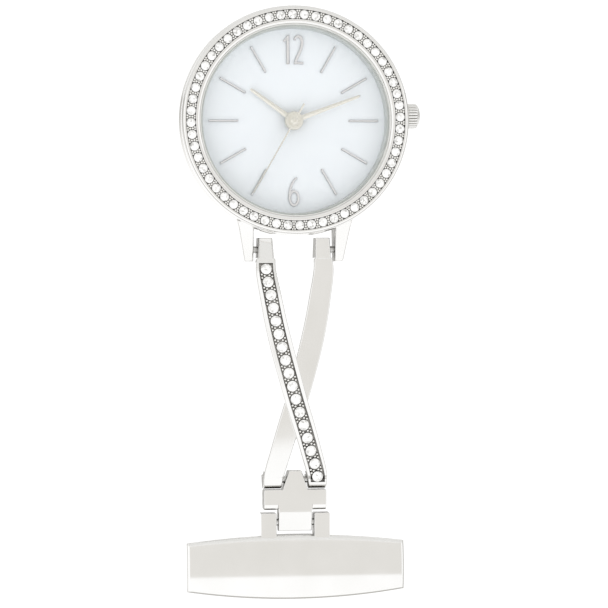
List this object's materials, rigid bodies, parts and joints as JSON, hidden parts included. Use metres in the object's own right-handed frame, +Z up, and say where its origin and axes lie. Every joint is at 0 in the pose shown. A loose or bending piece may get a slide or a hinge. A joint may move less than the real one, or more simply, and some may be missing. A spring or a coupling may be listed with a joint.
{
  "type": "fob watch",
  "caption": "Pendant fob watch hung from a bar brooch by a connector and a crossed-bar link, with a stone-set round case and a crown.",
  "frame": {"origin": "on the axis of the brooch pin wire, midway along its plain part", "axes": "+Z up with the brooch at the top and the watch hanging below, +X along the pin wire towards its point, -Y out of the dial towards the viewer"},
  "size_m": [0.0344, 0.0095, 0.0834],
  "materials": {
    "polished_steel": "polished",
    "satin_steel": "satin",
    "stones": "polished",
    "glass": "polished",
    "dial_white": "satin",
    "hands": "metallic",
    "inner_grey": "satin",
    "gasket": "matt",
    "nylon": "satin",
    "wheels": "polished",
    "plate_brass": "satin",
    "board": "satin",
    "chip": "matt",
    "copper": "enamelled",
    "iron": "satin"
  },
  "bodies": {
    "brooch": {"brooch_plate": "polished_steel", "brooch_hinge_pin": "satin_steel", "pin_base": "satin_steel", "pin_rivet": "satin_steel", "catch_housing": "polished_steel"},
    "pin_wire": {"brooch_pin": "satin_steel"},
    "catch": {"catch_roller": "polished_steel"},
    "connector_block": {"connector": "polished_steel"},
    "link": {"stone_bar": "polished_steel", "plain_bar": "polished_steel", "bar_stones": "stones", "link_pin": "satin_steel", "lug_pins": "satin_steel"},
    "case": {"case_middle": "polished_steel", "bezel": "polished_steel", "bezel_stones": "stones", "crystal": "glass", "crystal_gasket": "nylon", "inner_ring": "inner_grey", "case_back": "satin_steel", "case_back_gasket": "gasket", "crown_tube": "satin_steel", "dial": "dial_white", "hour_markers": "hands", "numerals": "hands", "main_plate": "plate_brass", "train_bridge": "plate_brass", "bridge_screws": "iron", "movement_ring": "nylon", "battery": "satin_steel", "battery_clamp": "iron", "circuit_board": "board", "drive_chip": "chip", "quartz_can": "satin_steel", "stator": "iron", "coil_core": "iron", "coil_winding": "copper"},
    "clutch": {"sliding_pinion": "iron"},
    "crown_stem": {"crown": "polished_steel", "crown_gasket": "gasket", "stem": "iron"},
    "lever": {"setting_lever": "iron"},
    "seconds": {"fourth_wheel": "wheels", "second_hand": "hands"},
    "third": {"third_wheel": "wheels"},
    "minutes": {"centre_wheel": "wheels", "cannon_pinion": "wheels", "minute_hand": "hands"},
    "fifth": {"fifth_wheel": "wheels"},
    "rotor_arbor": {"rotor": "iron"},
    "minute_work": {"minute_wheel": "wheels"},
    "hours": {"hour_wheel": "wheels", "hour_hand": "hands"},
    "setting": {"setting_wheel": "wheels"}
  },
  "joints": [
    {"name": "pin_swing", "type": "hinge", "parent": "brooch", "child": "pin_wire", "pos_m": [-0.0114, 0, 0], "axis": [0, 0, 1], "range_deg": [0, 60]},
    {"name": "catch_turn", "type": "hinge", "parent": "brooch", "child": "catch", "pos_m": [0.0104, 0, 0], "axis": [1, 0, 0], "range_deg": [0, 120]},
    {"name": "brooch_hinge", "type": "hinge", "parent": "brooch", "child": "connector_block", "pos_m": [0, -0.0036, -0.00635], "axis": [1, 0, 0], "range_deg": [-90, 60]},
    {"name": "link_hinge", "type": "hinge", "parent": "connector_block", "child": "link", "pos_m": [0, -0.0036, -0.01236], "axis": [1, 0, 0], "range_deg": [-45, 60]},
    {"name": "head_hinge", "type": "hinge", "parent": "link", "child": "case", "pos_m": [0, -0.0036, -0.04465], "axis": [1, 0, 0], "range_deg": [-70, 70]},
    {"name": "crown_turn", "type": "hinge", "parent": "case", "child": "clutch", "pos_m": [-0.012, -0.0035, -0.06348], "axis": [-1, 0, 0], "continuous": true},
    {"name": "crown_pull", "type": "slide", "parent": "clutch", "child": "crown_stem", "axis": [-1, 0, 0], "range_m": [0, 0.0008]},
    {"name": "lever_swing", "type": "hinge", "parent": "case", "child": "lever", "pos_m": [-0.0076, -0.0029, -0.06148], "axis": [0, 1, 0], "range_deg": [0, 23.07]},
    {"name": "second_hand_turn", "type": "hinge", "parent": "case", "child": "seconds", "pos_m": [0, -0.0031, -0.06268], "axis": [0, 1, 0], "continuous": true},
    {"name": "third_wheel_turn", "type": "hinge", "parent": "case", "child": "third", "pos_m": [-0.00052, -0.0031, -0.05973], "axis": [0, 1, 0], "continuous": true},
    {"name": "minute_hand_turn", "type": "hinge", "parent": "case", "child": "minutes", "pos_m": [0, -0.0031, -0.06268], "axis": [0, 1, 0], "continuous": true},
    {"name": "fifth_wheel_turn", "type": "hinge", "parent": "case", "child": "fifth", "pos_m": [0.00282, -0.0031, -0.06371], "axis": [0, 1, 0], "continuous": true},
    {"name": "rotor_turn", "type": "hinge", "parent": "case", "child": "rotor_arbor", "pos_m": [0.00382, -0.0031, -0.06544], "axis": [0, 1, 0], "continuous": true},
    {"name": "minute_wheel_turn", "type": "hinge", "parent": "case", "child": "minute_work", "pos_m": [-0.00226, -0.0031, -0.0635], "axis": [0, 1, 0], "continuous": true},
    {"name": "hour_hand_turn", "type": "hinge", "parent": "case", "child": "hours", "pos_m": [0, -0.0031, -0.06268], "axis": [0, 1, 0], "continuous": true},
    {"name": "setting_wheel_turn", "type": "hinge", "parent": "case", "child": "setting", "pos_m": [-0.00421, -0.0031, -0.06155], "axis": [0, 1, 0], "continuous": true}
  ],
  "couplings": [
    {"joint": "third_wheel_turn", "follows": "second_hand_turn", "ratio": -0.13333},
    {"joint": "minute_hand_turn", "follows": "second_hand_turn", "ratio": 0.016667},
    {"joint": "fifth_wheel_turn", "follows": "second_hand_turn", "ratio": -7.5},
    {"joint": "rotor_turn", "follows": "second_hand_turn", "ratio": 30},
    {"joint": "minute_wheel_turn", "follows": "second_hand_turn", "ratio": -0.0055556},
    {"joint": "hour_hand_turn", "follows": "second_hand_turn", "ratio": 0.0013889},
    {"joint": "setting_wheel_turn", "follows": "second_hand_turn", "ratio": 0.010417},
    {"joint": "lever_swing", "follows": "crown_pull", "rad_per_m": 503.39}
  ]
}
